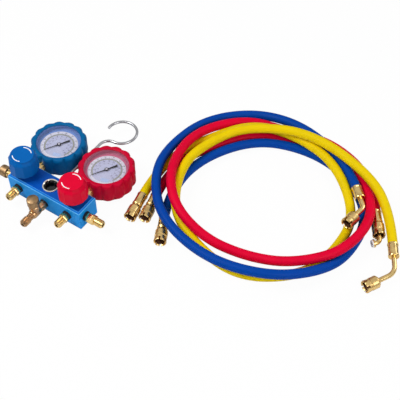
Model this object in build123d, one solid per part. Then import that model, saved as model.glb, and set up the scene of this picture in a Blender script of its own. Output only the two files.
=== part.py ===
from build123d import *
import math
import os

# Two-valve refrigerant manifold with two dial gauges and three charging hoses, lying on its back.
# Frame: +X from the low side to the high side, +Y from the hose ports to the gauges, +Z up.
# The origin is the centre of the block's back face, which lies on Z = 0. Millimetres throughout.

# Clearances
running = 0.05  # radial, a shaft or thread in its hole
seat = 0.3  # between curved faces of two moving bodies

# Block
block_end = 19.0  # from a side's centre to the block's end, on average
side_offset = -2.0  # both sides' ports, valves and gauges sit this far off the block's middle
end_port_y = -5.0
block_depth = 34.0
block_height = 31.5
block_chamfer = 2.5
axis_height = 16.0  # every side port and gauge stem above the back face
shank_depth = 9.0  # how deep a screwed fitting goes into the block
passage_bore = 4.8
gallery_bore = 5.0
gallery_height = 6.5

# Valves
chamber_bore = 13.0
chamber_floor = 10.0
bonnet_seat = 26.0
bonnet_thread = 16.0
bonnet_hex = 19.0
bonnet_flange = 4.5
bonnet_top = 42.0
bonnet_neck = 13.0
seat_bore = 6.0
stem_diameter = 7.0
stem_top = 62.0
piston_land_bottom = 18.8
piston_land_height = 3.2
piston_neck = 8.0
stem_pocket = 2.4
knob_diameter = 39.2
knob_sides = 16
knob_bottom = 39.6
knob_height = 26.2
knob_chamfer = 2.6
knob_hollow = 24.0
knob_hollow_depth = 7.0

# Sight glass
sight_bore = 19.0
sight_flange = 22.5
sight_flange_height = 1.2
sight_opening = 14.4
sight_floor = 24.0
glass_thickness = 2.0

# Flare fittings, 1/4 inch SAE
flare_thread = 11.1
flare_bore = 4.8
flare_nose = 7.6
flare_thread_length = 11.0
fitting_shank = 10.0
fitting_hex = 12.0
fitting_neck = 9.4
seal_thickness = 1.5
seal_diameter = 13.2
front_port_reach = 22.0
right_port_reach = 28.6
left_port_reach = 20.5

# Tee at the centre port
tee_height = 13.0
tee_reach = 43.5
tee_body = 12.6
tee_body_length = 25.0
tee_branch_at = 18.0
tee_branch_top = 37.0

# Flare caps
cap_diameter = 16.6
cap_height = 11.5
cap_roof = 2.0
cap_seal_thickness = 1.0
grip_sides = 16

# Hanging hook
hook_wire = 4.0
hook_wire_sides = 8
hook_insert = 11.0
hook_bend_radius = 14.0
hook_curl_radius = 20.8
hook_curl_x = 11.9  # from the shank
hook_reach = 33.2  # from the boots to the curl's centre
hook_tip_angle = 184.0
hook_head = 6.4
hook_head_length = 2.0
bush_diameter = 10.0
bush_flange = 13.0
bush_flange_thickness = 2.0

# Gauges
case_diameter = 68.0
case_wall = 1.4
boot_wall = 4.7
boot_gap = 4.6  # between the two boots
boot_to_block = 12.0
boot_lobes = 14
boot_lobe_crest = 0.5  # share of the pitch that a lobe's crest takes up
boot_lobe_foot = 0.8  # share that its foot takes up
boot_lobe_rise = 2.2
boot_floor = 2.5
boot_lip = 2.5
boot_lip_overlap = 3.6
boot_bottom_chamfer = 5.0
boot_top_chamfer = 2.0
ledge_width = 6.7
ledge_thickness = 1.2
lens_clearance = 0.2
lens_thickness = 2.0
lens_wall = 1.6
lens_recess = 0.8
dial_clearance = 0.1
dial_thickness = 0.6
dial_hole = 3.4
stem_flats = 12.7
gauge_stem_diameter = 13.0

# Gauge movement
holder_width = 12.0
holder_to_case = 2.9
holder_far = 17.0
holder_height = 9.0
movement_drop = 4.7  # from the stem's axis to the middle of the holder and tube
holder_bore = 2.0
holder_bore_drop = 1.8
tube_radius = 22.0
tube_wide = 7.0
tube_thick = 2.2
tube_sweep = 272.0
tube_facets = 16
tip_angle = -15.0
tip_lug = 4.0
plate_width = 15.0
plate_far = 7.0
front_plate_in_dial = 1.6
plate_thickness = 1.2
pillar_diameter = 2.6
pillar_x = 5.5
pillar_y = 4.3
pillar_from_edge = 2.5
gear_module = 0.3
pinion_teeth = 10
sector_teeth_full = 100
sector_swing = 27.0
gear_thickness = 1.2
gear_to_link = 0.4
gear_to_plate = 1.5
tooth_backlash = 0.08
pinion_shaft = 1.8
sector_shaft = 2.4
sector_hub = 5.0
tail_length = 7.0
tail_angle = -12.0
tail_width = 2.6
link_thickness = 0.7
link_width = 2.4
link_pin = 1.4
pointer_rest = 240.0
pointer_in_dial = 3.6
pointer_tail = 15.5
pointer_tail_width = 3.4
pointer_tip_width = 0.5
pointer_hub = 5.6
pointer_to_dial = 1.3
pointer_to_lens = 3.6
pointer_thickness = 0.6
pointer_hub_height = 1.4

# Hoses and their ends
hose_diameter = 12.7
hose_bore_stub = 4.4
hose_sides = 8
ferrule_diameter = 13.8
ferrule_length = 16.0
ferrule_groove = 0.5
tail_neck = 7.2
nut_diameter = 17.0
nut_length = 20.0
nut_lip = 3.5
nut_bore = flare_thread + 2 * running
nut_relief = 0.4  # radial, behind the nut's thread
nut_start = 18.0
tail_flange = nut_bore - 2 * seat
tail_flange_thickness = 2.4
gasket_diameter = 9.6
gasket_thickness = 1.6
elbow_tube = 6.3

# Route of each hose from its manifold end to its service end, one point per gentle turn.
hose_routes = {
    "yellow": [(98, 65, 9), (84, 135, 9), (112, 206, 7), (155, 254, 19), (220, 266, 21), (290, 247, 24),
               (348, 195, 7), (353, 128, 7), (334, 71, 7), (268, 26, 8), (190, 44, 7), (143, 71, 17),
               (117, 133, 26), (124, 192, 21), (155, 240, 26), (239, 268, 38), (343, 245, 34),
               (388, 213, 15), (411, 174, 12)],
    "red": [(113, 74, 9), (97, 138, 9), (138, 217, 9), (170, 252, 7), (233, 276, 7), (308, 267, 12),
            (372, 204, 23), (368, 126, 24), (321, 78, 17), (265, 61, 7), (205, 50, 15), (147, 65, 32),
            (107, 119, 33), (95, 199, 18), (139, 263, 12), (198, 278, 7), (260, 294, 7), (336, 264, 9),
            (369, 212, 9)],
    "blue": [(144, 51, 9), (124, 90, 9), (124, 163, 10), (168, 237, 9), (237, 262, 8), (304, 253, 7),
             (363, 205, 7), (370, 133, 7), (352, 85, 15), (307, 36, 28), (226, 23, 18), (144, 42, 23),
             (95, 98, 24), (82, 153, 21), (88, 234, 7), (143, 287, 7), (222, 285, 24), (303, 255, 22),
             (333, 223, 23)],
}
# Service ends: the corner's distance past the ferrule, its bend, its radius, the reach past the corner,
# the tube's diameter and where the nut's back face sits along the tube
service_ends = {
    "yellow": dict(corner=23.0, bend=60.0, radius=18.0, reach=31.0, tube=elbow_tube, nut_back=True),
    "red": dict(corner=30.0, bend=75.0, radius=7.0, reach=9.5, tube=elbow_tube, nut_back=False),
    "blue": dict(corner=15.0, bend=52.0, radius=11.0, reach=23.5, tube=tail_neck, nut_back=True),
}

# Plan: the gauges set the pitch of the two sides, and with it the block
boot_diameter = case_diameter + 2 * boot_wall
boot_opening = case_diameter - 2 * boot_lip_overlap
side_pitch = boot_diameter + boot_gap
block_length = side_pitch + 2 * block_end
half_pitch = side_pitch / 2
half_length = block_length / 2
half_depth = block_depth / 2
gauge_y = half_depth + boot_to_block + boot_diameter / 2
hook_curl_y = gauge_y + boot_diameter / 2 + hook_reach
dial_diameter = case_diameter - 2 * (case_wall + ledge_width + dial_clearance)
pointer_length = dial_diameter / 2 - pointer_in_dial
holder_near = case_diameter / 2 - case_wall - holder_to_case
front_plate_near = dial_diameter / 2 - front_plate_in_dial

# Heights: the gauge is stacked up from its stem
movement_axis = axis_height - movement_drop
plate_bottom = movement_axis + holder_height / 2
link_bottom = plate_bottom + plate_thickness + seat
gear_bottom = link_bottom + link_thickness + gear_to_link
dial_bottom = gear_bottom + gear_thickness + gear_to_plate + plate_thickness
ledge_top = dial_bottom + dial_thickness
pointer_bottom = ledge_top + pointer_to_dial
lens_top = pointer_bottom + pointer_hub_height + pointer_to_lens + lens_thickness
boot_height = lens_top + lens_recess
boot_lip_bottom = boot_height - boot_lip
case_top = boot_lip_bottom - seat
tube_bottom = movement_axis - tube_wide / 2
shank_hole = fitting_shank + 2 * running
sides = {"low": side_offset - half_pitch, "high": side_offset + half_pitch}


def turned(points):
    """A solid of revolution about +Z from (radius, height) points."""
    return revolve(Plane.XZ * make_face(Polyline(*points, close=True)), axis=Axis.Z)


def rod(diameter, bottom, top):
    """An upright cylinder between two heights."""
    upright = (Align.CENTER, Align.CENTER, Align.MIN)
    return Pos(0, 0, bottom) * Cylinder(diameter / 2, top - bottom, align=upright)


def facing(origin, direction, x_dir=None):
    """A plane whose +Z points along the given direction."""
    if x_dir is None:
        return Plane(origin, z_dir=direction)
    return Plane(origin, x_dir=x_dir, z_dir=direction)


front = {name: facing((x, -half_depth, axis_height), (0, -1, 0)) for name, x in sides.items()}
rear = {name: facing((x, half_depth, axis_height), (0, 1, 0)) for name, x in sides.items()}
right_end = facing((half_length, end_port_y, axis_height), (1, 0, 0))
left_end = facing((-half_length, end_port_y, axis_height), (-1, 0, 0))
centre_front = facing((0, -half_depth, tee_height), (0, -1, 0))
centre_rear = facing((side_offset, half_depth, axis_height), (0, 1, 0))


def manifold_block():
    body = Pos(0, 0, block_height / 2) * Box(block_length, block_depth, block_height)
    body = chamfer(body.edges().group_by(Axis.Z)[-1], block_chamfer)
    for x in sides.values():
        at = Pos(x, 0, 0)
        body -= at * rod(chamber_bore, chamber_floor, bonnet_seat)
        body -= at * rod(bonnet_thread + 2 * running, bonnet_seat, block_height)
        body -= at * rod(seat_bore, gallery_height, chamber_floor)
    gallery = Plane(origin=(sides["low"], 0, gallery_height), z_dir=(1, 0, 0))
    body -= gallery * rod(gallery_bore, 0, side_pitch)
    to_chamber = half_depth
    for port in list(front.values()) + list(rear.values()) + [centre_front]:
        body -= port * rod(shank_hole, -shank_depth, 0)
        body -= port * rod(passage_bore, -to_chamber, 0)
    for port, x in ((left_end, sides["low"]), (right_end, sides["high"])):
        body -= port * rod(shank_hole, -shank_depth, 0)
        body -= port * rod(passage_bore, abs(x) - half_length, 0)
    body -= rod(passage_bore, gallery_height, sight_floor)
    body -= rod(sight_bore + 2 * running, sight_floor, block_height)
    body -= centre_rear * rod(bush_diameter + 2 * running, -hook_insert - seat, 0)
    return body


def sight_glass_ring():
    bottom = sight_floor + glass_thickness
    outer = sight_bore / 2
    hole = sight_opening / 2
    top = block_height + sight_flange_height
    return turned([(hole, bottom), (outer, bottom), (outer, block_height), (sight_flange / 2, block_height),
                   (sight_flange / 2, top), (hole, top)])


def sight_glass():
    return rod(sight_bore - 0.4, sight_floor, sight_floor + glass_thickness)


def valve_bonnet():
    outline = RegularPolygon(bonnet_hex / 2, 6, major_radius=False)
    collar = Pos(0, 0, block_height) * extrude(outline, bonnet_flange)
    body = collar + rod(bonnet_thread, bonnet_seat, block_height)
    body += rod(bonnet_neck, block_height + bonnet_flange, bonnet_top)
    return body - rod(stem_diameter + 2 * running, bonnet_seat, bonnet_top)


def valve_piston():
    land = chamber_bore / 2 - running
    land_top = piston_land_bottom + piston_land_height
    edge = chamber_floor + seat
    nose = seat_bore / 2
    pocket = stem_diameter / 2 + running
    return turned([(0, edge - nose + 1.2), (1.2, edge - nose + 1.2),
                   (piston_neck / 2, edge - nose + piston_neck / 2),
                   (piston_neck / 2, piston_land_bottom), (land, piston_land_bottom), (land, land_top),
                   (pocket, land_top), (pocket, land_top - stem_pocket), (0, land_top - stem_pocket)])


def valve_stem():
    foot = piston_land_bottom + piston_land_height - stem_pocket
    return rod(stem_diameter, foot, stem_top)


def valve_knob():
    body = extrude(RegularPolygon(knob_diameter / 2, knob_sides), knob_height)
    body = chamfer(body.edges().group_by(Axis.Z)[-1], knob_chamfer)
    body = Pos(0, 0, knob_bottom) * body
    body -= rod(knob_hollow, knob_bottom, knob_bottom + knob_hollow_depth)
    return body - rod(stem_diameter, knob_bottom, stem_top)


def flare_fitting(reach):
    """A screwed port: shank in the block, hexagon on a seal, neck, flare thread and nose."""
    thread_start = reach - flare_thread_length
    nose_start = reach - (flare_thread - flare_nose) / 2
    bore = flare_bore / 2
    outline = RegularPolygon(fitting_hex / 2, 6, major_radius=False)
    hexagon = extrude(outline, thread_start - seal_thickness - 1.5)
    body = turned([(bore, -shank_depth), (fitting_shank / 2, -shank_depth), (fitting_shank / 2, seal_thickness),
                   (fitting_neck / 2, seal_thickness), (fitting_neck / 2, thread_start),
                   (flare_thread / 2, thread_start), (flare_thread / 2, nose_start), (flare_nose / 2, reach),
                   (bore, reach)])
    return body + Pos(0, 0, seal_thickness) * (hexagon - rod(fitting_neck, 0, reach))


def port_seal():
    return rod(seal_diameter, 0, seal_thickness) - rod(fitting_shank + 2 * running, 0, seal_thickness)


def centre_tee():
    nose_start = tee_reach - (flare_thread - flare_nose) / 2
    bore = flare_bore / 2
    body = turned([(0, -shank_depth), (fitting_shank / 2, -shank_depth), (fitting_shank / 2, seal_thickness),
                   (tee_body / 2, seal_thickness), (tee_body / 2, tee_body_length),
                   (fitting_neck / 2, tee_body_length), (fitting_neck / 2, tee_reach - flare_thread_length),
                   (flare_thread / 2, tee_reach - flare_thread_length), (flare_thread / 2, nose_start),
                   (flare_nose / 2, tee_reach), (0, tee_reach)])
    body = centre_front * body
    branch_nose = tee_branch_top - (flare_thread - flare_nose) / 2
    branch = turned([(0, tee_height), (flare_thread / 2, tee_height), (flare_thread / 2, branch_nose),
                     (flare_nose / 2, tee_branch_top), (0, tee_branch_top)])
    branch_at = Pos(0, -half_depth - tee_branch_at, 0)
    body += branch_at * branch
    body -= centre_front * rod(flare_bore, -shank_depth, tee_reach)
    return body - branch_at * rod(flare_bore, tee_height, tee_branch_top)


def grip(diameter, height):
    """The many-sided outside of a knurled nut or cap."""
    return extrude(RegularPolygon(diameter / 2, grip_sides), height)


def flare_cap():
    """A cap whose roof lies on its seal, on the nose of a flare at height 0."""
    roof_at = cap_seal_thickness
    skirt = cap_height - cap_roof - cap_seal_thickness
    body = Pos(0, 0, -skirt) * grip(cap_diameter, cap_height)
    return body - rod(flare_thread + 2 * running, -skirt, roof_at)


def cap_seal():
    return rod(flare_thread - 1.0, seat / 3, cap_seal_thickness)


def hanging_hook():
    across_arcs = hook_bend_radius - hook_curl_x
    junction_turn = math.degrees(math.asin(across_arcs / (hook_bend_radius + hook_curl_radius)))
    rise = math.sqrt((hook_bend_radius + hook_curl_radius) ** 2 - (hook_bend_radius - hook_curl_x) ** 2)
    bend_y = hook_curl_y - rise
    start_y = half_depth - hook_insert
    shank = Line((0, start_y, axis_height), (0, bend_y, axis_height))
    level = Plane.XY.offset(axis_height)
    bend = level * CenterArc((hook_bend_radius, bend_y), hook_bend_radius, 180, junction_turn - 90)
    curl_start = junction_turn - 90
    curl_turn = hook_tip_angle - curl_start
    curl = level * CenterArc((hook_curl_x, hook_curl_y), hook_curl_radius, curl_start, curl_turn)
    path = Wire([shank, bend, curl])
    section = facing((0, start_y, axis_height), (0, 1, 0)) * RegularPolygon(hook_wire / 2, hook_wire_sides)
    wire = sweep(section, path=path)
    wire += facing((0, start_y, axis_height), (0, 1, 0)) * rod(hook_head, 0, hook_head_length)
    return Pos(side_offset, 0, 0) * wire


def hook_bush():
    inner_end = hook_head_length + seat - hook_insert
    body = rod(bush_diameter, inner_end, 0) + rod(bush_flange, 0, bush_flange_thickness)
    return centre_rear * (body - rod(hook_wire + 2 * running, inner_end, bush_flange_thickness))


def lobed_outline(height, inset):
    """The boot's scalloped plan at one height, drawn in by the inset."""
    crest = boot_diameter / 2 - inset
    root = crest - boot_lobe_rise
    corners = []
    for lobe in range(boot_lobes):
        for share, radius in ((-boot_lobe_foot, root), (-boot_lobe_crest, crest),
                              (boot_lobe_crest, crest), (boot_lobe_foot, root)):
            angle = 2 * math.pi * (lobe + share / 2) / boot_lobes
            corners.append((radius * math.cos(angle), radius * math.sin(angle)))
    return Pos(0, 0, height) * make_face(Polyline(*corners, close=True))


def gauge_boot():
    body = loft([lobed_outline(0, boot_bottom_chamfer), lobed_outline(boot_bottom_chamfer, 0),
                 lobed_outline(boot_height - boot_top_chamfer, 0),
                 lobed_outline(boot_height, boot_top_chamfer)], ruled=True)
    body -= rod(case_diameter + 2 * running, boot_floor, boot_lip_bottom)
    body -= rod(boot_opening, boot_lip_bottom, boot_height)
    return body - stem_axis() * rod(gauge_stem_diameter + 2 * seat, 0, boot_diameter)


def stem_axis():
    """From the gauge's centre towards the block, at the height of the stem."""
    return facing((0, 0, axis_height), (0, -1, 0))


def gauge_case():
    outer = case_diameter / 2
    inner = outer - case_wall
    ledge = dial_diameter / 2 + dial_clearance
    body = turned([(0, boot_floor), (outer, boot_floor), (outer, case_top), (inner, case_top), (inner, ledge_top),
                   (ledge, ledge_top), (ledge, ledge_top - ledge_thickness),
                   (inner, ledge_top - ledge_thickness),
                   (inner, boot_floor + case_wall), (0, boot_floor + case_wall)])
    return body - stem_axis() * rod(gauge_stem_diameter + 2 * running, 0, case_diameter)


def gauge_lens():
    outer = boot_opening / 2 - lens_clearance
    inner = outer - lens_wall
    return turned([(0, lens_top - lens_thickness), (inner, lens_top - lens_thickness), (inner, ledge_top),
                   (outer, ledge_top), (outer, lens_top), (0, lens_top)])


def gauge_dial():
    top = dial_bottom + dial_thickness
    return rod(dial_diameter, dial_bottom, top) - rod(dial_hole, dial_bottom, top)


def bourdon_tube():
    """The curved flat tube from the holder round to its free end, which carries a lug and pin."""
    outer = []
    inner = []
    for step in range(tube_facets + 1):
        angle = math.radians(tip_angle + tube_sweep * step / tube_facets)
        across = Vector(math.cos(angle), math.sin(angle))
        outer.append(across * (tube_radius + tube_thick / 2))
        inner.append(across * (tube_radius - tube_thick / 2))
    coil = extrude(make_face(Polyline(*outer, *reversed(inner), close=True)), tube_wide)
    inward = (Align.CENTER, Align.MAX, Align.MIN)
    lug = Pos(tube_radius, 0, 0) * Box(tip_lug, tip_lug, tube_wide, align=inward)
    pin = Pos(tube_radius, -tip_lug / 2, 0) * rod(link_pin, tube_wide, link_bottom - seat - tube_bottom)
    return Pos(0, 0, tube_bottom) * (coil + Rot(0, 0, tip_angle) * (lug + pin))


def socket_stem():
    """Threaded stem, wrench flats and the holder that carries the tube and the movement."""
    reach = gauge_y - half_depth
    flats_start = boot_diameter / 2 + 1.5
    shank = rod(fitting_shank, reach, reach + shank_depth)
    neck = rod(gauge_stem_diameter, holder_near, flats_start)
    flats = Pos(0, 0, flats_start) * Box(stem_flats, stem_flats, reach - flats_start,
                                         align=(Align.CENTER, Align.CENTER, Align.MIN))
    body = stem_axis() * (shank + neck + flats)
    body += Pos(0, -(holder_near + holder_far) / 2, movement_axis) * Box(
        holder_width, holder_near - holder_far, holder_height)
    body -= stem_axis() * rod(flare_bore, holder_near + running, reach + shank_depth)
    body -= Pos(0, 0, -holder_bore_drop) * stem_axis() * rod(holder_bore, holder_far + 3, reach)
    return body - bourdon_tube()


def movement_plates():
    """Back and front plates held apart by three pillars, with bearings for the two shafts."""
    front_plate_bottom = dial_bottom - plate_thickness
    body = Pos(0, 0, plate_bottom) * movement_plate(holder_near)
    body += Pos(0, 0, front_plate_bottom) * movement_plate(front_plate_near)
    for x, y in ((-pillar_x, pillar_y), (pillar_x, pillar_y), (-pillar_x, pillar_from_edge - front_plate_near)):
        body += Pos(x, y, 0) * rod(pillar_diameter, plate_bottom + plate_thickness, front_plate_bottom)
    return body


def movement_plate(near):
    """One plate from the near end to just past the pinion, with a bearing hole for each shaft."""
    length = near + plate_far
    outline = Pos(0, plate_far - length / 2) * Rectangle(plate_width, length)
    outline -= Circle(pinion_shaft / 2 + running)
    outline -= Pos(0, -gear_centres()) * Circle(sector_shaft / 2 + running)
    return extrude(outline, plate_thickness)


def gear_centres():
    return gear_module * (pinion_teeth + sector_teeth_full) / 2


def tooth_ring(teeth, count, first_angle):
    """Tapered teeth on a disc of the root diameter, the middle of the first at first_angle."""
    pitch_radius = gear_module * teeth / 2
    root = pitch_radius - 1.1 * gear_module
    tip = pitch_radius + 0.9 * gear_module
    half = math.pi * gear_module / 4 - tooth_backlash
    profile = Polyline((root - 0.3, -1.5 * half), (pitch_radius, -half), (tip, -0.45 * half),
                       (tip, 0.45 * half), (pitch_radius, half), (root - 0.3, 1.5 * half), close=True)
    tooth = make_face(profile)
    blank = Circle(root)
    for index in range(count):
        blank += Rot(0, 0, first_angle + index * 360 / teeth) * tooth
    return blank


def pinion():
    """The pointer's shaft with its pinion, a tooth gap facing the sector."""
    gear = tooth_ring(pinion_teeth, pinion_teeth, -90 + 180 / pinion_teeth)
    body = Pos(0, 0, gear_bottom) * extrude(gear, gear_thickness)
    return body + rod(pinion_shaft, plate_bottom, pointer_bottom + pointer_thickness + pointer_hub_height / 2)


def sector_gear():
    """A toothed sector about its own shaft, with a tail for the link, as it stands at zero."""
    radius = gear_module * sector_teeth_full / 2
    step = 360 / sector_teeth_full
    count = math.ceil(sector_swing / step) + 3
    first = 90 - (count - 2) * step
    teeth = tooth_ring(sector_teeth_full, count, first)
    half_span = count * step / 2 + 1.5
    middle = first + (count - 1) * step / 2
    edge = [(0, 0)]
    for share in (-1, 0, 1):
        angle = math.radians(middle + share * half_span)
        edge.append((1.2 * radius * math.cos(angle), 1.2 * radius * math.sin(angle)))
    arm = teeth & make_face(Polyline(*edge, close=True))
    arm += Circle(sector_hub / 2)
    tail = SlotCenterToCenter(tail_length, tail_width)
    arm += Rot(0, 0, tail_angle) * Pos(tail_length / 2, 0) * tail
    arm -= Pos(*tail_end()) * Circle(link_pin / 2 + running)
    body = Pos(0, 0, gear_bottom) * extrude(arm, gear_thickness)
    body += rod(sector_shaft, plate_bottom, dial_bottom - seat)
    return Pos(0, -gear_centres(), 0) * body


def tail_end():
    """The link's pivot on the tail, from the sector's own shaft."""
    angle = math.radians(tail_angle)
    return (tail_length * math.cos(angle), tail_length * math.sin(angle))


def link():
    """Flat link from the tail's pivot to the tube's free end, which it reaches just above the pin."""
    near = Vector(tail_end()[0], tail_end()[1] - gear_centres())
    angle = math.radians(tip_angle)
    across = tip_lug / 2
    far = Vector(tube_radius * math.cos(angle) + across * math.sin(angle),
                 tube_radius * math.sin(angle) - across * math.cos(angle))
    span = far - near
    turn = math.degrees(math.atan2(span.Y, span.X))
    middle = (near + far) * 0.5
    bar = extrude(SlotCenterToCenter(span.length, link_width), link_thickness)
    body = Pos(middle.X, middle.Y, link_bottom) * Rot(0, 0, turn) * bar
    return body + Pos(near.X, near.Y, 0) * rod(link_pin, link_bottom, gear_bottom + gear_thickness + 0.3)


def gauge_pointer():
    """Thin needle one way and a broad tail the other, on a hub pressed on the pinion's shaft."""
    blade = make_face(Polyline((0, -pointer_hub / 4), (pointer_length, -pointer_tip_width / 2),
                               (pointer_length, pointer_tip_width / 2), (0, pointer_hub / 4),
                               (-pointer_tail, pointer_tail_width / 2), (-pointer_tail, -pointer_tail_width / 2),
                               close=True))
    body = Pos(0, 0, pointer_bottom) * extrude(blade, pointer_thickness)
    body += rod(pointer_hub, pointer_bottom, pointer_bottom + pointer_hub_height)
    body -= rod(pinion_shaft, pointer_bottom, pointer_bottom + pointer_hub_height)
    return Rot(0, 0, pointer_rest) * body


def turn_radii(points):
    """Each corner's arc: 0.45 of its shorter run over the tangent of half its turn."""
    corners = [Vector(*point) for point in points]
    radii = []
    for before, corner, after in zip(corners, corners[1:], corners[2:]):
        arriving = corner - before
        leaving = after - corner
        half_turn = math.radians(arriving.get_angle(leaving)) / 2
        radii.append(0.45 * min(arriving.length, leaving.length) / math.tan(half_turn))
    return radii


def hose(name):
    points = hose_routes[name]
    radii = turn_radii(points)
    path = FilletPolyline(*points, radius=radii)
    section = Plane(path @ 0, z_dir=path % 0) * RegularPolygon(hose_diameter / 2, hose_sides)
    tube = sweep(section, path=path)
    share = tube.volume / (section.area * path.length)
    print(f"{name} hose: {path.length:.0f} mm, volume over section times length {share:.4f}")
    print("  radii", [round(radius) for radius in radii])
    return tube


def manifold_end(name):
    """Plane on the hose's first face, looking out of the hose."""
    first, second = (Vector(*point) for point in hose_routes[name][:2])
    return facing(first, first - second)


def service_end(name):
    """Plane on the hose's last face, looking out of the hose, its X towards the inside of the bend."""
    second, last = (Vector(*point) for point in hose_routes[name][-2:])
    out = last - second
    return facing(last, out, Vector(out.Y, -out.X, 0))


def elbow_mouth(name):
    """Plane on the service end's seal face, looking out of it."""
    end = service_ends[name]
    angle = math.radians(end["bend"])
    corner = ferrule_length + end["corner"]
    out = Vector(math.sin(angle), 0, math.cos(angle))
    mouth = Plane(Vector(0, 0, corner) + out * end["reach"], z_dir=out)
    return Plane(service_end(name).location * mouth.location)


def ferrule():
    outer = ferrule_diameter / 2
    groove = outer - ferrule_groove
    middle = ferrule_length / 2
    return turned([(0, 0), (outer, 0), (outer, middle - 2), (groove, middle - 1), (groove, middle + 1),
                   (outer, middle + 2), (outer, ferrule_length), (0, ferrule_length)])


def manifold_tail():
    """Crimped ferrule, neck and sealing flange of a straight hose end."""
    flange_at = nut_start + nut_lip + seat
    body = ferrule() + rod(tail_neck, ferrule_length, flange_at)
    body += rod(tail_flange, flange_at, flange_at + tail_flange_thickness)
    return body - rod(hose_bore_stub, 0, flange_at + tail_flange_thickness)


def service_tail(name):
    """Crimped ferrule and the bent tube of a service end, with its sealing flange."""
    end = service_ends[name]
    angle = math.radians(end["bend"])
    corner = ferrule_length + end["corner"]
    last = (end["reach"] * math.sin(angle), 0, corner + end["reach"] * math.cos(angle))
    path = FilletPolyline((0, 0, ferrule_length), (0, 0, corner), last, radius=end["radius"])
    tube = sweep(Pos(0, 0, ferrule_length) * Circle(end["tube"] / 2), path=path)
    mouth = Plane(last, z_dir=(math.sin(angle), 0, math.cos(angle)))
    flange = mouth * rod(tail_flange, -tail_flange_thickness, 0)
    return service_end(name) * (ferrule() + tube + flange)


def hose_nut(neck):
    """A knurled swivel nut: its lip holds the tail's flange. Height 0 is the nut's back face."""
    thread_start = nut_lip + seat + tail_flange_thickness + gasket_thickness
    body = grip(nut_diameter, nut_length)
    body -= rod(neck + 2 * running, 0, nut_lip)
    body -= rod(nut_bore + 2 * nut_relief, nut_lip, thread_start)
    return body - rod(nut_bore, thread_start, nut_length)


def gasket():
    return rod(gasket_diameter, 0, gasket_thickness) - rod(hose_bore_stub, 0, gasket_thickness)


def service_nut_back(name):
    """Plane on the nut's back face: behind the sealing flange, or slid back against the ferrule."""
    if service_ends[name]["nut_back"]:
        mouth = elbow_mouth(name)
        return mouth.offset(-tail_flange_thickness - seat - nut_lip)
    return service_end(name).offset(ferrule_length + seat)


tee_nose = facing((0, -half_depth - tee_branch_at, tee_branch_top), (0, 0, 1))
left_nose = left_end.offset(left_port_reach)

parts = {
    "manifold_block": manifold_block(),
    "sight_glass_ring": sight_glass_ring(),
    "sight_glass": sight_glass(),
    "centre_tee": centre_tee(),
    "left_cap_seal": left_nose * cap_seal(),
    "left_cap": left_nose * flare_cap(),
    "tee_cap_seal": tee_nose * cap_seal(),
    "tee_cap": tee_nose * flare_cap(),
    "hanging_hook": hanging_hook(),
    "hook_bush": hook_bush(),
}

seal_places = list(front.values()) + [left_end, right_end, centre_front]
parts["port_seals"] = Compound(children=[place * port_seal() for place in seal_places])
ports = [place * flare_fitting(front_port_reach) for place in front.values()]
ports += [right_end * flare_fitting(right_port_reach), left_end * flare_fitting(left_port_reach)]
parts["flare_ports"] = Compound(children=ports)

for side, x in sides.items():
    at = Pos(x, 0, 0)
    gauge = Pos(x, gauge_y, 0)
    parts[f"{side}_valve_bonnet"] = at * valve_bonnet()
    parts[f"{side}_valve_piston"] = at * valve_piston()
    parts[f"{side}_valve_stem"] = at * valve_stem()
    parts[f"{side}_valve_knob"] = at * valve_knob()
    parts[f"{side}_gauge_boot"] = gauge * gauge_boot()
    parts[f"{side}_gauge_case"] = gauge * gauge_case()
    parts[f"{side}_gauge_lens"] = gauge * gauge_lens()
    parts[f"{side}_gauge_dial"] = gauge * gauge_dial()
    parts[f"{side}_gauge_socket"] = gauge * socket_stem()
    parts[f"{side}_bourdon_tube"] = gauge * bourdon_tube()
    parts[f"{side}_movement_plates"] = gauge * movement_plates()
    parts[f"{side}_sector_gear"] = gauge * sector_gear()
    parts[f"{side}_link"] = gauge * link()
    parts[f"{side}_pinion"] = gauge * pinion()
    parts[f"{side}_pointer"] = gauge * gauge_pointer()

gaskets = []
manifold_tails = []
service_tails = []
for name in hose_routes:
    out = manifold_end(name)
    parts[f"{name}_hose"] = hose(name)
    manifold_tails.append(out * manifold_tail())
    service_tails.append(service_tail(name))
    parts[f"{name}_manifold_nut"] = out.offset(nut_start) * hose_nut(tail_neck)
    parts[f"{name}_service_nut"] = service_nut_back(name) * hose_nut(service_ends[name]["tube"])
    flange_face = nut_start + nut_lip + seat + tail_flange_thickness
    gaskets.append(out.offset(flange_face) * gasket())
    gaskets.append(elbow_mouth(name) * gasket())
parts["hose_gaskets"] = Compound(children=gaskets)
parts["manifold_tails"] = Compound(children=manifold_tails)
parts["service_tails"] = Compound(children=service_tails)

os.makedirs("parts", exist_ok=True)
for name, shape in parts.items():
    export_step(shape, f"parts/{name}.step")
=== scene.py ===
import math
import bpy
import bmesh
from mathutils import Matrix, Vector


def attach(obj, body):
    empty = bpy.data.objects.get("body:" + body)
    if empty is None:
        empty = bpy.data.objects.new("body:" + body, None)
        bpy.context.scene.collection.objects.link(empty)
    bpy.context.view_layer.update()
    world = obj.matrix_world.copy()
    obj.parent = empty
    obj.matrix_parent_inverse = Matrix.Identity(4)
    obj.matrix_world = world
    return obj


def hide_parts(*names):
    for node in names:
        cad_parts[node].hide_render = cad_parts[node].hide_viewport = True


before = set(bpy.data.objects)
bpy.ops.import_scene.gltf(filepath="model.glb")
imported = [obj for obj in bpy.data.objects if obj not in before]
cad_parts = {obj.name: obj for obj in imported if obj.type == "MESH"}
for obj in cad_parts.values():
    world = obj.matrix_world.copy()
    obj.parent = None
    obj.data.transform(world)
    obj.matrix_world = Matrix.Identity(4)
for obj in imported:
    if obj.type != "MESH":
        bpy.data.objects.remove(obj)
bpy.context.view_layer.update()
mm = 0.001
print("frame loaded")

# camera and light

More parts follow.
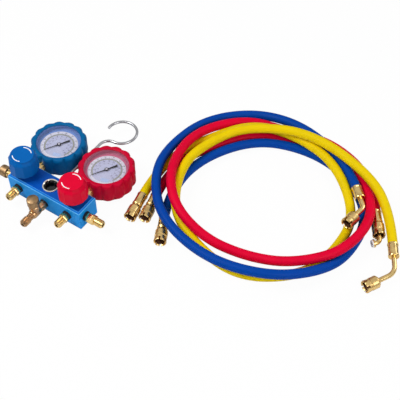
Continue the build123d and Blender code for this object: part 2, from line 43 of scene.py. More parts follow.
view = {"turn": 33.8, "height": 50.55, "target": (160.8, 109.8, 0), "distance": 1200, "lens": 81}


def addCamera():
    turn, height = math.radians(view["turn"]), math.radians(view["height"])
    away = Vector((math.sin(turn) * math.cos(height), -math.cos(turn) * math.cos(height), math.sin(height)))
    target = Vector(view["target"]) * mm
    camera = bpy.data.objects.new("camera", bpy.data.cameras.new("camera"))
    camera.data.lens = view["lens"]
    camera.data.sensor_width = 36
    camera.data.clip_end = 20
    camera.location = target + away * view["distance"] * mm
    camera.rotation_euler = away.to_track_quat("Z", "Y").to_euler()
    bpy.context.scene.collection.objects.link(camera)
    bpy.context.scene.camera = camera


addCamera()
bpy.context.scene.view_settings.view_transform = "Standard"

# shader helpers


class Wire:
    # wraps a socket, so that shader maths is written as plain expressions
    def __init__(self, paint, socket):
        self.paint = paint
        self.socket = socket

    def maths(self, operation, *others):
        sockets = dict(enumerate((self,) + others))
        return self.paint.node("ShaderNodeMath", {"operation": operation}, sockets)

    def __add__(self, other):
        return self.maths("ADD", other)

    def __mul__(self, other):
        return self.maths("MULTIPLY", other)

    def __sub__(self, other):
        return self.maths("SUBTRACT", other)

    def __rsub__(self, other):
        return self.paint.node("ShaderNodeMath", {"operation": "SUBTRACT"}, {0: other, 1: self})

    def __truediv__(self, other):
        return self.maths("DIVIDE", other)

    def __gt__(self, other):
        return self.maths("GREATER_THAN", other)

    def __lt__(self, other):
        return self.maths("LESS_THAN", other)

    __radd__ = __add__
    __rmul__ = __mul__


class Paint:
    # a material with one principled shader
    def __init__(self, name, **fixed):
        self.material = bpy.data.materials.new(name)
        self.material.use_nodes = True
        self.tree = self.material.node_tree
        self.shader = self.tree.nodes["Principled BSDF"]
        for socket, value in fixed.items():
            self.set(socket.replace("_", " "), value)

    def set(self, socket, value):
        if isinstance(value, Wire):
            self.tree.links.new(value.socket, self.shader.inputs[socket])
        else:
            self.shader.inputs[socket].default_value = value

    def node(self, kind, settings=None, sockets=None, output=0):
        made = self.tree.nodes.new(kind)
        for setting, value in (settings or {}).items():
            setattr(made, setting, value)
        for socket, value in (sockets or {}).items():
            if isinstance(value, Wire):
                self.tree.links.new(value.socket, made.inputs[socket])
            else:
                made.inputs[socket].default_value = value
        return Wire(self, made.outputs[output])

    def place(self, centre=(0, 0, 0), turn=(0, 0, 0), stretch=(1, 1, 1)):
        # object coordinates, in millimetres from a centre
        spot = self.node("ShaderNodeTexCoord", output="Object")
        centre = Vector(centre) * mm
        moved = self.node("ShaderNodeVectorMath", {"operation": "SUBTRACT"}, {0: spot, 1: centre})
        scale = [share / mm for share in stretch]
        return self.node("ShaderNodeMapping", None, {"Vector": moved, "Rotation": turn, "Scale": scale})

    def split(self, vector, axes):
        return [self.node("ShaderNodeSeparateXYZ", None, {0: vector}, output=axis) for axis in axes]

    def noise(self, vector, scale, detail=3.0):
        return self.node("ShaderNodeTexNoise", None,
                         {"Vector": vector, "Scale": scale, "Detail": detail, "Roughness": 0.55})

    def mix(self, share, first, second):
        return self.node("ShaderNodeMix", {"data_type": "RGBA"}, {0: share, 6: first, 7: second}, output=2)

    def ramp(self, value, low, high, start=0.0, end=1.0):
        # straight change between two values, held outside them
        return self.node("ShaderNodeMapRange", None, {0: value, 1: low, 2: high, 3: start, 4: end})

    def bump(self, height, strength, depth=0.001):
        self.set("Normal", self.node("ShaderNodeBump", None,
                                     {"Strength": strength, "Distance": depth, "Height": height}))


def colour(red, green, blue):
    # from the 0 to 255 values of a screen colour
    def straight(value):
        value = value / 255
        return value / 12.92 if value <= 0.04045 else ((value + 0.055) / 1.055) ** 2.4
    return (straight(red), straight(green), straight(blue), 1.0)


def shade(base, share):
    return tuple(value * share for value in base[:3]) + (1.0,)


# finishes

block = {"end": 60, "front": -17, "top": 31.5, "chamferFoot": 29.0, "portHeight": 16, "endPortY": -5}


def anodisedFinish():
    # satin blue, with painted shade and light: the top face painted darker than the sides and the chamfer a
    # mid blue, as lit and shaded copies of one blue; and a painted highlight line along each side of the
    # chamfer
    paint = Paint("anodisedBlue", Metallic=0.25, Specular_IOR_Level=0.15)
    spot = paint.place()
    up, = paint.split(spot, "Z")
    grain = paint.noise(paint.place(stretch=(0.05, 2.0, 2.0)), 0.9, 4.0)
    cloud = paint.noise(spot, 0.03, 2.0)
    foot, edge = block["chamferFoot"], block["top"]
    # painted shade and light: the top face darker, the sides lighter, the chamfer a mid blue between them
    top = paint.ramp(up, edge - 0.2, edge - 0.05)
    chamfer = paint.ramp(up, foot - 0.1, foot + 0.1) * (1 - top)
    # painted highlight: a thin bright line at the foot and at the top edge of the chamfer
    lowPaintedHighlight = paint.ramp(up, foot - 0.2, foot) * (1 - paint.ramp(up, foot + 0.4, foot + 0.7))
    highPaintedHighlight = paint.ramp(up, edge - 0.4, edge - 0.25)
    side = paint.mix(grain, colour(4, 130, 218), colour(16, 166, 250))
    face = paint.mix(grain * 0.5 + cloud * 0.5, colour(0, 66, 158), colour(0, 100, 212))
    body = paint.mix(chamfer, paint.mix(top, side, face), colour(6, 116, 216))
    paint.set("Base Color", paint.mix((lowPaintedHighlight + highPaintedHighlight) * chamfer, body, colour(110, 200, 255)))
    paint.set("Roughness", paint.ramp(grain, 0.3, 0.7, 0.36, 0.5))
    paint.bump(grain, 0.12, 0.0003)
    return paint.material


def mouldedFinish(name, base, gloss, speckle):
    # knobs and boots: moulded, faintly mottled, with small paler spots painted on as highlight speckles
    paint = Paint(name, Specular_IOR_Level=0.09)
    spot = paint.place()
    cloud = paint.noise(spot, 0.06, 3.0)
    fine = paint.noise(spot, 1.6, 2.0)
    tone = paint.mix(cloud, shade(base, 0.88), shade(base, 1.1))
    # painted highlight: paler speckles where the fine noise is high
    paint.set("Base Color", paint.mix(paint.ramp(fine, 0.62, 0.75, 0.0, 0.35), tone, shade(base, 1.35)))
    paint.set("Roughness", paint.ramp(cloud, 0.3, 0.7, gloss - 0.05, gloss + 0.08))
    paint.bump(fine, speckle, 0.0004)
    return paint.material


def brassFinish(name, base, dark, gloss, tarnish):
    # polished or dulled, with darker tarnish in patches
    paint = Paint(name, Metallic=1.0)
    spot = paint.place()
    cloud = paint.noise(spot, 0.16, 4.0)
    fine = paint.noise(spot, 1.1, 3.0)
    stain = paint.ramp(cloud, 0.46, 0.72) * tarnish
    paint.set("Base Color", paint.mix(stain, base, dark))
    paint.set("Roughness", paint.ramp(fine, 0.35, 0.65, gloss - 0.06, gloss + 0.12))
    paint.bump(fine, 0.03, 0.0002)
    return paint.material


def steelFinish(name, base, gloss):
    paint = Paint(name, Metallic=1.0)
    drawn = paint.noise(paint.place(), 0.9, 4.0)
    paint.set("Base Color", paint.mix(drawn, shade(base, 0.75), shade(base, 1.1)))
    paint.set("Roughness", paint.ramp(drawn, 0.3, 0.7, gloss - 0.08, gloss + 0.12))
    paint.bump(drawn, 0.1, 0.0003)
    return paint.material


def hoseFinish(name, base):
    # smooth extruded cover, faintly mottled
    paint = Paint(name, Specular_IOR_Level=0.07)
    spot = paint.place()
    cloud = paint.noise(spot, 0.05, 2.0)
    fine = paint.noise(spot, 2.2, 2.0)
    paint.set("Base Color", paint.mix(cloud, shade(base, 0.86), shade(base, 1.1)))
    paint.set("Roughness", paint.ramp(cloud, 0.3, 0.7, 0.4, 0.54))
    paint.bump(fine, 0.06, 0.0003)
    return paint.material


def plainFinish(name, base, gloss, metal=0.0, grain=0.08):
    paint = Paint(name, Metallic=metal)
    fine = paint.noise(paint.place(), 1.3, 3.0)
    paint.set("Base Color", paint.mix(fine, shade(base, 0.85), shade(base, 1.12)))
    paint.set("Roughness", paint.ramp(fine, 0.3, 0.7, gloss - 0.06, gloss + 0.08))
    paint.bump(fine, grain, 0.0003)
    return paint.material


def clearFinish(name, tint, faced, grazing):
    # thin clear plastic: nearly open when faced; at a glance its pale tint shows more, as a painted
    # reflection that makes it look glossier
    paint = Paint(name, Base_Color=tint, Roughness=0.04, Coat_Weight=0.6)
    glance = paint.node("ShaderNodeLayerWeight", None, {"Blend": 0.2}, output="Facing")
    reflectionNoise = paint.noise(paint.place(), 0.12, 2.0)
    # painted reflection: the pale tint shows more at a glance, varied by noise
    paint.set("Alpha", paint.ramp(glance + reflectionNoise * 0.08, 0.1, 0.9, faced, grazing))
    return paint.material


brassBright = brassFinish("brassBright", colour(236, 204, 138), colour(146, 100, 50), 0.16, 0.5)
brassKnurled = brassFinish("brassKnurled", colour(232, 198, 132), colour(136, 96, 50), 0.28, 0.5)
brassBrown = brassFinish("brassBrown", colour(196, 158, 116), colour(120, 86, 56), 0.24, 0.6)
capBrown = brassFinish("capBrown", colour(164, 134, 98), colour(116, 88, 62), 0.42, 0.6)
wireSteel = steelFinish("wireSteel", colour(184, 184, 188), 0.26)
plainSteel = steelFinish("plainSteel", colour(150, 150, 156), 0.38)
ringNickel = brassFinish("ringNickel", colour(248, 244, 230), colour(170, 152, 120), 0.22, 0.4)
# dark brown for the thread inside the nuts: painted shade in the bore, darker than the brass outside
shadedBoreBrown = plainFinish("shadedBoreBrown", colour(96, 58, 36), 0.5, 0.6)
sealBlack = plainFinish("sealBlack", colour(12, 12, 14), 0.6)
pointerBlack = plainFinish("pointerBlack", colour(6, 5, 12), 0.5)
pinSilver = plainFinish("pinSilver", colour(196, 192, 204), 0.35, 0.4)
gasketWhite = plainFinish("gasketWhite", colour(236, 236, 234), 0.5)
blockBlue = anodisedFinish()
sightDark = plainFinish("sightDark", colour(4, 10, 14), 0.12)
inkWhite = plainFinish("inkWhite", colour(244, 244, 250), 0.5, grain=0.02)
inkPlum = plainFinish("inkPlum", colour(50, 36, 78), 0.6, grain=0.02)
inkSlate = plainFinish("inkSlate", colour(30, 28, 48), 0.6, grain=0.02)
lensClear = clearFinish("lensClear", colour(176, 180, 196), 0.004, 0.3)
knobFinish = {"low": mouldedFinish("knobBlue", colour(0, 94, 172), 0.42, 0.06),
              "high": mouldedFinish("knobRed", colour(218, 0, 48), 0.42, 0.06)}
bootFinish = {"low": mouldedFinish("bootBlue", colour(0, 94, 150), 0.42, 0.14),
              "high": mouldedFinish("bootRed", colour(196, 0, 46), 0.42, 0.14)}
# partly the case's own red and blue, partly a painted reflection that pales them to pink and periwinkle
caseFinish = {"low": mouldedFinish("caseBlue", colour(118, 150, 214), 0.3, 0.03),
              "high": mouldedFinish("caseRed", colour(206, 110, 140), 0.3, 0.03)}
hoseColours = {"yellow": hoseFinish("hoseYellow", colour(234, 204, 2)),
               "red": hoseFinish("hoseRed", colour(222, 0, 50)),
               "blue": hoseFinish("hoseBlue", colour(0, 66, 160))}
print("finishes made")

# piece helpers


def facing(origin, out, side=None):
    # places a shape that was made about +Z
    up = Vector(out).normalized()
    across = Vector(side).normalized() if side else up.orthogonal().normalized()
    across = (across - up * across.dot(up)).normalized()
    turned = Matrix((across, up.cross(across), up)).transposed().to_4x4()
    return Matrix.Translation(Vector(origin) * mm) @ turned


def spunShape(profile, steps, angle=math.tau, start=0.0):
    # a profile of (radius, height) pairs, turned about +Z, and closed unless it starts on the axis
    bm = bmesh.new()
    corners = [bm.verts.new((radius * mm, 0, height * mm)) for radius, height in profile]
    around = corners[1:] if profile[0][0] == 0 else corners[1:] + corners[:1]
    runs = [bm.edges.new(pair) for pair in zip(corners, around)]
    full = angle == math.tau
    geometry = corners + runs
    if not full:
        geometry.append(bm.faces.new(corners))
    bmesh.ops.spin(bm, geom=geometry, cent=(0, 0, 0), axis=(0, 0, 1), angle=angle, steps=steps,
                   use_merge=full)
    bmesh.ops.remove_doubles(bm, verts=bm.verts, dist=1e-6)
    bmesh.ops.recalc_face_normals(bm, faces=bm.faces)
    bmesh.ops.rotate(bm, verts=bm.verts, cent=(0, 0, 0), matrix=Matrix.Rotation(start, 3, "Z"))
    return bm


def joined(*shapes):
    # one bmesh from several
    whole = bmesh.new()
    for shape in shapes:
        mesh = bpy.data.meshes.new("part")
        shape.to_mesh(mesh)
        shape.free()
        whole.from_mesh(mesh)
        bpy.data.meshes.remove(mesh)
    return whole


def addPiece(name, bm, finish, body, where=None, stands=(), crease=35):
    if where:
        bm.transform(where)
    mesh = bpy.data.meshes.new(name)
    bm.to_mesh(mesh)
    bm.free()
    mesh.materials.append(finish)
    for face in mesh.polygons:
        face.use_smooth = True
    mesh.set_sharp_from_angle(angle=math.radians(crease))
    piece = bpy.data.objects.new(name, mesh)
    bpy.context.scene.collection.objects.link(piece)
    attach(piece, body)
    if stands:
        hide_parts(*stands)
    return piece


def hexagonBar(across, bottom, top, rounding):
    # upright bar, the edges of its two ends rounded
    bm = bmesh.new()
    radius = across / 2 / math.cos(math.pi / 6) * mm
    bmesh.ops.create_cone(bm, cap_ends=True, segments=6, radius1=radius, radius2=radius,
                          depth=(top - bottom) * mm)
    bmesh.ops.translate(bm, verts=bm.verts, vec=(0, 0, (top + bottom) / 2 * mm))
    ends = [edge for edge in bm.edges if abs(edge.verts[0].co.z - edge.verts[1].co.z) < 1e-6]
    bmesh.ops.bevel(bm, geom=ends, offset=rounding * mm, affect="EDGES", segments=2, profile=0.5,
                    material=-1)
    return bm


def knurlBand(radius, low, high, rows):
    # the stretch of a profile that is knurled afterwards
    return [(radius, low + (high - low) * row / rows) for row in range(rows + 1)]


def knurl(bm, low, high, radius, depth):
    # the quads between two heights at a radius become diamonds, and each diamond a low point
    def inBand(face):
        middle = face.calc_center_median() / mm
        return low < middle.z < high and middle.xy.length > radius - 0.5
    faces = [face for face in bm.faces if inBand(face)]
    inside = [edge for edge in dict.fromkeys(edge for face in faces for edge in face.edges)
              if all(inBand(face) for face in edge.link_faces)]
    bmesh.ops.poke(bm, faces=faces)
    diamonds = bmesh.ops.dissolve_edges(bm, edges=inside, use_verts=False)["region"]
    bmesh.ops.poke(bm, faces=[face for face in diamonds if face.is_valid], offset=depth * mm)


def parts(made, kind):
    # the vertices, edges or faces among what an operator made
    return [part for part in made if isinstance(part, kind)]


def shifted(bm, height):
    bmesh.ops.translate(bm, verts=bm.verts, vec=(0, 0, height * mm))
    return bm


# hoses: the same routes as the solids, in millimetres

routes = {
    "yellow": [(98, 65, 9), (84, 135, 9), (112, 206, 7), (155, 254, 19), (220, 266, 21), (290, 247, 24),
               (348, 195, 7), (353, 128, 7), (334, 71, 7), (268, 26, 8), (190, 44, 7), (143, 71, 17),
               (117, 133, 26), (124, 192, 21), (155, 240, 26), (239, 268, 38), (343, 245, 34),
               (388, 213, 15), (411, 174, 12)],
    "red": [(113, 74, 9), (97, 138, 9), (138, 217, 9), (170, 252, 7), (233, 276, 7), (308, 267, 12),
            (372, 204, 23), (368, 126, 24), (321, 78, 17), (265, 61, 7), (205, 50, 15), (147, 65, 32),
            (107, 119, 33), (95, 199, 18), (139, 263, 12), (198, 278, 7), (260, 294, 7), (336, 264, 9),
            (369, 212, 9)],
    "blue": [(144, 51, 9), (124, 90, 9), (124, 163, 10), (168, 237, 9), (237, 262, 8), (304, 253, 7),
             (363, 205, 7), (370, 133, 7), (352, 85, 15), (307, 36, 28), (226, 23, 18), (144, 42, 23),
             (95, 98, 24), (82, 153, 21), (88, 234, 7), (143, 287, 7), (222, 285, 24), (303, 255, 22),
             (333, 223, 23)],
}
hoseSizes = {"diameter": 12.7, "lengths": {"yellow": 1.231, "red": 1.230, "blue": 1.251}}
endSizes = {"nutStart": 18.0, "flange": 2.4, "flangeRadius": 5.3, "neck": 7.2, "inner": 2.2}
ferrule = {"length": 16.0, "overlap": 3.5, "radius": 6.75, "bell": 7.2, "collar": 7.1, "flats": 10,
           "flatRadius": 6.5, "inner": 3.0}
nut = {"length": 20.0, "lip": 3.5, "seat": 0.3, "knurl": (3.4, 11.2), "rows": 6, "cut": 0.24, "radius": 8.28,
       "waist": 7.9, "groove": 7.5, "hollow": 5.6, "crown": 15.5, "prongs": 6, "prongWidth": 43}
nutThread = {"start": 8.0, "end": 18.4, "pitch": 1.1, "turns": 9, "crest": 5.35, "root": 5.55}
# past the ferrule: where the tube turns, how far, how tightly, how far on it reaches, its diameter, and
# whether the nut sits on its flange or is drawn back to the ferrule
serviceEnds = {
    "yellow": {"corner": 23.0, "bend": 60.0, "radius": 18.0, "reach": 31.0, "tube": 6.3, "nutSeated": True},
    "red": {"corner": 30.0, "bend": 75.0, "radius": 7.0, "reach": 9.5, "tube": 6.3, "nutSeated": False},
    "blue": {"corner": 15.0, "bend": 52.0, "radius": 11.0, "reach": 23.5, "tube": 7.2, "nutSeated": True},
}


def hoseCurve(name):
    curve = bpy.data.curves.new(f"{name}Hose", "CURVE")
    curve.dimensions = "3D"
    curve.resolution_u = 14
    curve.bevel_depth = hoseSizes["diameter"] / 2 * mm
    curve.bevel_resolution = 8
    curve.use_fill_caps = True
    spline = curve.splines.new("NURBS")
    spline.points.add(len(routes[name]) - 1)
    for point, spot in zip(spline.points, routes[name]):
        point.co = (*(Vector(spot) * mm), 1.0)
    spline.order_u = 3
    spline.use_endpoint_u = True
    curve.materials.append(hoseColours[name])
    piece = bpy.data.objects.new(f"{name}Hose", curve)
    bpy.context.scene.collection.objects.link(piece)
    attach(piece, "manifold")
    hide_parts(f"{name}_hose")
    return piece


def crimpFerrule():
    # swaged sleeve: a bell over the hose, pressed flats and a turned end
    length, radius, bell, inner = ferrule["length"], ferrule["radius"], ferrule["bell"], ferrule["inner"]
    foot, collar, hose = -ferrule["overlap"], ferrule["collar"], hoseSizes["diameter"] / 2 + 0.07
    sleeve = spunShape([(hose, foot), (bell - 0.3, foot), (bell, foot + 0.4), (bell, foot + 1.9),
                        (radius, foot + 2.5), (radius, 2.0), (radius, 6.0), (radius, length - 3.0),
                        (collar, length - 2.5), (collar, length - 0.9), (collar - 0.5, length),
                        (inner, length), (inner, 0.0), (hose, 0.0)], 60)
    pitch = math.tau / ferrule["flats"]
    for vert in sleeve.verts:
        flat = vert.co.xy.length / mm
        if flat > radius - 0.05 and foot + 2.3 < vert.co.z / mm < length - 2.8:
            turn = math.atan2(vert.co.y, vert.co.x) % pitch - pitch / 2
            vert.co.xy *= min(1.0, ferrule["flatRadius"] / math.cos(turn) / flat)
    return sleeve


def straightNeck(top):
    # collar against the ferrule, and the neck that carries the nut
    inner, neck, foot = endSizes["inner"], endSizes["neck"] / 2, ferrule["length"] - 1
    return spunShape([(inner, foot), (6.0, foot), (6.2, foot + 1.2), (5.8, foot + 2.3), (neck, foot + 2.6),
                      (neck, top), (inner, top)], 32)


def sealFlange():
    # the shoulder that the nut pulls against, its face at height 0
    inner, edge, back = endSizes["inner"], endSizes["flangeRadius"], -endSizes["flange"]
    return spunShape([(inner, 0.0), (edge - 0.3, 0.0), (edge, -0.3), (edge, back), (inner, back)], 32)


def swivelNut(neck):
    # knurled barrel with a tapered back, a turned groove and a crown of flared prongs
    hole, hollow, crown, length = neck / 2 + 0.06, nut["hollow"], nut["crown"], nut["length"]
    low, high = nut["knurl"]
    waist, groove = nut["waist"], nut["groove"]
    barrel = spunShape([(hole, 0.0), (hollow, 0.0), (7.7, low - 1.5), (8.2, low - 0.8)]
                       + knurlBand(nut["radius"], low, high, nut["rows"])
                       + [(waist, high + 0.4), (groove, high + 0.7), (groove, high + 1.5),
                          (waist, high + 1.9), (8.05, crown), (hollow, crown), (hollow, nut["lip"]),
                          (hole, nut["lip"])], 36)
    knurl(barrel, low, high, nut["radius"], nut["cut"])
    prong = [(5.9, crown - 0.1), (8.05, crown - 0.1), (8.3, length - 2.4), (8.4, length - 0.8),
             (8.0, length), (7.0, length), (6.2, length - 1.2)]
    turns = [math.tau / nut["prongs"] * tooth for tooth in range(nut["prongs"])]
    return joined(barrel, *[spunShape(prong, 6, math.radians(nut["prongWidth"]), turn) for turn in turns])


def nutBore():
    # the thread inside a nut
    start, end, hollow = nutThread["start"], nutThread["end"], nut["hollow"]
    rings = [(radius, start + nutThread["pitch"] * turn + rise) for turn in range(nutThread["turns"])
             for radius, rise in ((nutThread["crest"], 0.2), (nutThread["root"], 0.7))]
    return spunShape([(hollow, start)] + rings + [(hollow, end)], 32)


def tubeAlong(points, radius, diameter):
    # round tube past one rounded corner, made by spinning its ring, which starts facing +Z
    first, corner, last = [Vector(point) * mm for point in points]
    arriving, leaving = (corner - first).normalized(), (last - corner).normalized()
    turn = arriving.angle(leaving)
    cut = radius * mm * math.tan(turn / 2)
    axis = arriving.cross(leaving).normalized()
    bendStart, bendEnd = corner - arriving * cut, corner + leaving * cut
    bendCentre = bendStart + axis.cross(arriving) * radius * mm
    bm = bmesh.new()
    ring = bmesh.ops.create_circle(bm, segments=24, radius=diameter / 2 * mm)["verts"]
    bmesh.ops.translate(bm, verts=ring, vec=first)
    made = bmesh.ops.extrude_edge_only(bm, edges=list(bm.edges))["geom"]
    bmesh.ops.translate(bm, verts=parts(made, bmesh.types.BMVert), vec=bendStart - first)
    edges = [edge for edge in parts(made, bmesh.types.BMEdge)
             if all((vert.co - bendStart).dot(arriving) > -1e-6 for vert in edge.verts)]
    verts = list(dict.fromkeys(vert for edge in edges for vert in edge.verts))
    made = bmesh.ops.spin(bm, geom=edges + verts, cent=bendCentre, axis=axis, angle=turn,
                          steps=12)["geom_last"]
    made = bmesh.ops.extrude_edge_only(bm, edges=parts(made, bmesh.types.BMEdge))["geom"]
    bmesh.ops.translate(bm, verts=parts(made, bmesh.types.BMVert), vec=last - bendEnd)
    bmesh.ops.remove_doubles(bm, verts=bm.verts, dist=1e-6)
    bmesh.ops.recalc_face_normals(bm, faces=bm.faces)
    return bm


def lifted(height):
    return Matrix.Translation((0, 0, height * mm))


def addNut(name, end, neck, at):
    # a nut, and the thread inside it
    body = f"{name}_{end}_nut"
    outside = addPiece(f"{name}{end.title()}Nut", swivelNut(neck), brassKnurled, body, at, [body])
    inside = addPiece(f"{name}{end.title()}Bore", nutBore(), shadedBoreBrown, body, at)
    return [outside, inside]


def hoseEnds(name):
    # every fitting of one hose, which are the pieces that go with the cord
    first, second = [Vector(spot) for spot in routes[name][:2]]
    out = facing(first, first - second)
    nutDepth = nut["lip"] + nut["seat"] + endSizes["flange"]
    neckTop = endSizes["nutStart"] + nutDepth
    straight = joined(crimpFerrule(), straightNeck(neckTop - 1), shifted(sealFlange(), neckTop))
    pieces = [addPiece(f"{name}StraightTail", straight, brassBright, "manifold", out, ["manifold_tails"])]
    pieces += addNut(name, "manifold", endSizes["neck"], out @ lifted(endSizes["nutStart"]))
    end = serviceEnds[name]
    before, last = [Vector(spot) for spot in routes[name][-2:]]
    ahead = last - before
    back = facing(last, ahead, (ahead.y, -ahead.x, 0))
    bend = math.radians(end["bend"])
    corner = ferrule["length"] + end["corner"]
    mouthAt = Vector((end["reach"] * math.sin(bend), 0, corner + end["reach"] * math.cos(bend)))
    mouth = Matrix.Translation(mouthAt * mm) @ Matrix.Rotation(bend, 4, "Y")
    flange = sealFlange()
    flange.transform(mouth)
    tube = tubeAlong([(0, 0, ferrule["length"] - 1), (0, 0, corner), tuple(mouthAt)], end["radius"],
                     end["tube"])
    bent = joined(crimpFerrule(), tube, flange)
    pieces.append(addPiece(f"{name}BentTail", bent, brassBright, "manifold", back, ["service_tails"]))
    seated, drawnBack = mouth @ lifted(-nutDepth), lifted(ferrule["length"] + nut["seat"])
    return pieces + addNut(name, "service", end["tube"], back @ (seated if end["nutSeated"] else drawnBack))


for name in routes:
    hose = hoseCurve(name)
    fittings = hoseEnds(name)
    start = Vector(routes[name][0]) * mm
print("hoses laid")

# block fittings

sides = {"low": -43.0, "high": 39.0}
fitting = {"thread": 11.1, "nose": 7.6, "bore": 4.8, "hexagon": 12.0, "neck": 9.4, "pitch": 1.27,
           "threadLength": 11.0, "seal": 1.5, "ring": 2.0}


def threadProfile(start, end):
    # shallow rings at the thread's pitch, each with its rise, crest and fall
    crest, root = fitting["thread"] / 2, fitting["thread"] / 2 - 0.4
    points = [(root, start)]
    for turn in range(int((end - start) / fitting["pitch"])):
        foot = start + turn * fitting["pitch"]
        points += [(crest, foot + 0.35), (crest, foot + 0.75), (root, foot + 1.1)]
    return points


def flarePort(reach):
    threadStart = reach - fitting["threadLength"]
    noseStart = reach - (fitting["thread"] - fitting["nose"]) / 2
    bore, neck, nose = fitting["bore"] / 2, fitting["neck"] / 2, fitting["nose"] / 2
    stem = spunShape([(bore, 1.0), (neck, 1.0), (neck, threadStart - 0.4), (neck - 0.5, threadStart)]
                     + threadProfile(threadStart, noseStart - 0.2)
                     + [(fitting["thread"] / 2 - 0.3, noseStart), (nose + 0.2, reach - 0.3),
                        (nose - 0.2, reach), (bore + 0.5, reach), (bore, reach - 0.5)], 36)
    flats = hexagonBar(fitting["hexagon"], fitting["seal"] + fitting["ring"], threadStart - 1.5, 0.7)
    return joined(stem, flats)


def portRing():
    # black collar between a port and the block: painted shade, a dark ring standing in for the shade round
    # the port's shank
    inner, outer = fitting["neck"] / 2 - 0.1, fitting["hexagon"] / 2 + 0.4
    foot = fitting["seal"] - 0.1
    top = foot + fitting["ring"]
    return spunShape([(inner, foot), (outer - 0.2, foot), (outer, foot + 0.5), (outer - 0.2, top),
                      (inner, top + 0.2)], 36)


tee = {"height": 13, "reach": 43.5, "bodyEnd": 25.0, "radius": 6.3, "waist": 5.7, "branch": -35,
       "branchTop": 37.0, "collar": 7.2}


def teePiece():
    # forged body with a threaded end and an upright branch
    reach, bodyEnd, top = tee["reach"], tee["bodyEnd"], tee["branchTop"]
    radius, waist, collar = tee["radius"], tee["waist"], tee["collar"]
    bore, neck = fitting["bore"] / 2, fitting["neck"] / 2
    noseStart = reach - (fitting["thread"] - fitting["nose"]) / 2
    body = spunShape([(bore, 1.0), (5.0, 1.0), (5.0, 2.0), (radius, 2.8), (radius, 8.0), (waist, 10.0),
                      (waist, 12.5), (radius, 14.0), (radius, bodyEnd - 1.5), (5.6, bodyEnd),
                      (neck, bodyEnd + 0.4), (neck, reach - fitting["threadLength"] - 0.4)]
                     + threadProfile(reach - fitting["threadLength"], noseStart - 0.2)
                     + [(5.25, noseStart), (4.0, reach - 0.3), (3.6, reach), (bore + 0.5, reach),
                        (bore, reach - 0.5)], 36)
    body.transform(facing((0, block["front"], tee["height"]), (0, -1, 0)))
    branch = spunShape([(bore, 15.0), (6.1, 15.0), (radius, 19.0), (collar, 20.5), (collar, 27.2),
                        (6.6, 27.8), (5.6, 27.8)] + threadProfile(top - 9.0, top - 2.0)
                       + [(5.25, top - 1.75), (3.8, top), (bore, top)], 36)
    branch.transform(Matrix.Translation((0, tee["branch"] * mm, 0)))
    return joined(body, branch)


cap = {"radius": 8.05, "knurl": (-7.6, 0.4), "rows": 6, "cut": 0.22, "skirt": -8.5, "roof": 3.0,
       "hollow": 5.6}


def flareCap():
    # knurled cap with a domed roof, hollow up to 1 mm above height 0
    low, high = cap["knurl"]
    shape = spunShape([(0.0, 1.0), (cap["hollow"], 1.0), (cap["hollow"], cap["skirt"]), (7.4, cap["skirt"]),
                       (7.9, -8.1)] + knurlBand(cap["radius"], low, high, cap["rows"])
                      + [(8.0, 1.2), (7.6, 2.2), (6.4, 2.9), (0.0, cap["roof"])], 36)
    knurl(shape, low, high, cap["radius"], cap["cut"])
    return shape


# where each port leaves the block, its direction and its reach
portPlaces = {"lowPort": ((sides["low"], block["front"], block["portHeight"]), (0, -1, 0), 22.0),
              "highPort": ((sides["high"], block["front"], block["portHeight"]), (0, -1, 0), 22.0),
              "rightPort": ((block["end"], block["endPortY"], block["portHeight"]), (1, 0, 0), 28.6),
              "leftPort": ((-block["end"], block["endPortY"], block["portHeight"]), (-1, 0, 0), 20.5)}
shadeCollars = []
for name, (origin, out, reach) in portPlaces.items():
    addPiece(name, flarePort(reach), brassBright, "manifold", facing(origin, out), ["flare_ports"])
    collar = portRing()
    collar.transform(facing(origin, out))
    shadeCollars.append(collar)
# painted shade: the black collars stand for the shade round each port's shank
addPiece("portShadeRings", joined(*shadeCollars), sealBlack, "manifold")
addPiece("centreTee", teePiece(), brassBrown, "manifold", None, ["centre_tee"])
origin, out, reach = portPlaces["leftPort"]
leftEnd = Vector(origin) + Vector(out) * reach
addPiece("leftCap", flareCap(), capBrown, "left_cap", facing(leftEnd, out), ["left_cap"])
addPiece("teeCap", flareCap(), capBrown, "tee_cap", facing((0, tee["branch"], tee["branchTop"]), (0, 0, 1)),
         ["tee_cap"])

sight = {"foot": 26.0, "inner": 9.3, "rim": 11.25, "top": 32.7, "retainer": 8.4, "teeth": 10,
         "toothTip": 7.2, "toothWidth": 20, "toothStart": 7}


def sightRing():
    # bright pressed ring
    foot, inner, rim, top, face = sight["foot"], sight["inner"], sight["rim"], sight["top"], block["top"]
    return spunShape([(inner, foot), (inner + 0.2, foot), (inner + 0.2, face), (rim, face), (rim, top - 0.4),
                      (rim - 0.35, top), (inner + 0.5, top), (inner, top - 0.5)], 60)


def sightTeeth():
    # toothed retainer inside the ring, finished black as painted shade inside the ring
    foot, outer, retainer, face = sight["foot"], sight["inner"] - 0.02, sight["retainer"], block["top"]
    band = spunShape([(retainer, foot), (outer, foot), (outer, face + 0.4), (retainer + 0.5, face + 0.2),
                      (retainer, face - 0.9)], 60)
    tip, back, toothFoot = sight["toothTip"], retainer + 0.1, face - 3.1
    tooth = [(tip, toothFoot), (back, toothFoot), (back, face - 0.5), (tip + 0.3, face - 1.1),
             (tip, face - 1.5)]
    turns = [360 / sight["teeth"] * place + sight["toothStart"] for place in range(sight["teeth"])]
    teeth = [spunShape(tooth, 4, math.radians(sight["toothWidth"]), math.radians(turn)) for turn in turns]
    return joined(band, *teeth)


# the teeth take the black seal finish: painted shade inside the sight ring
addPiece("sightTeeth", sightTeeth(), sealBlack, "manifold")
addPiece("sightRing", sightRing(), ringNickel, "manifold", None, ["sight_glass_ring"])
print("block fittings made")

# valve knobs

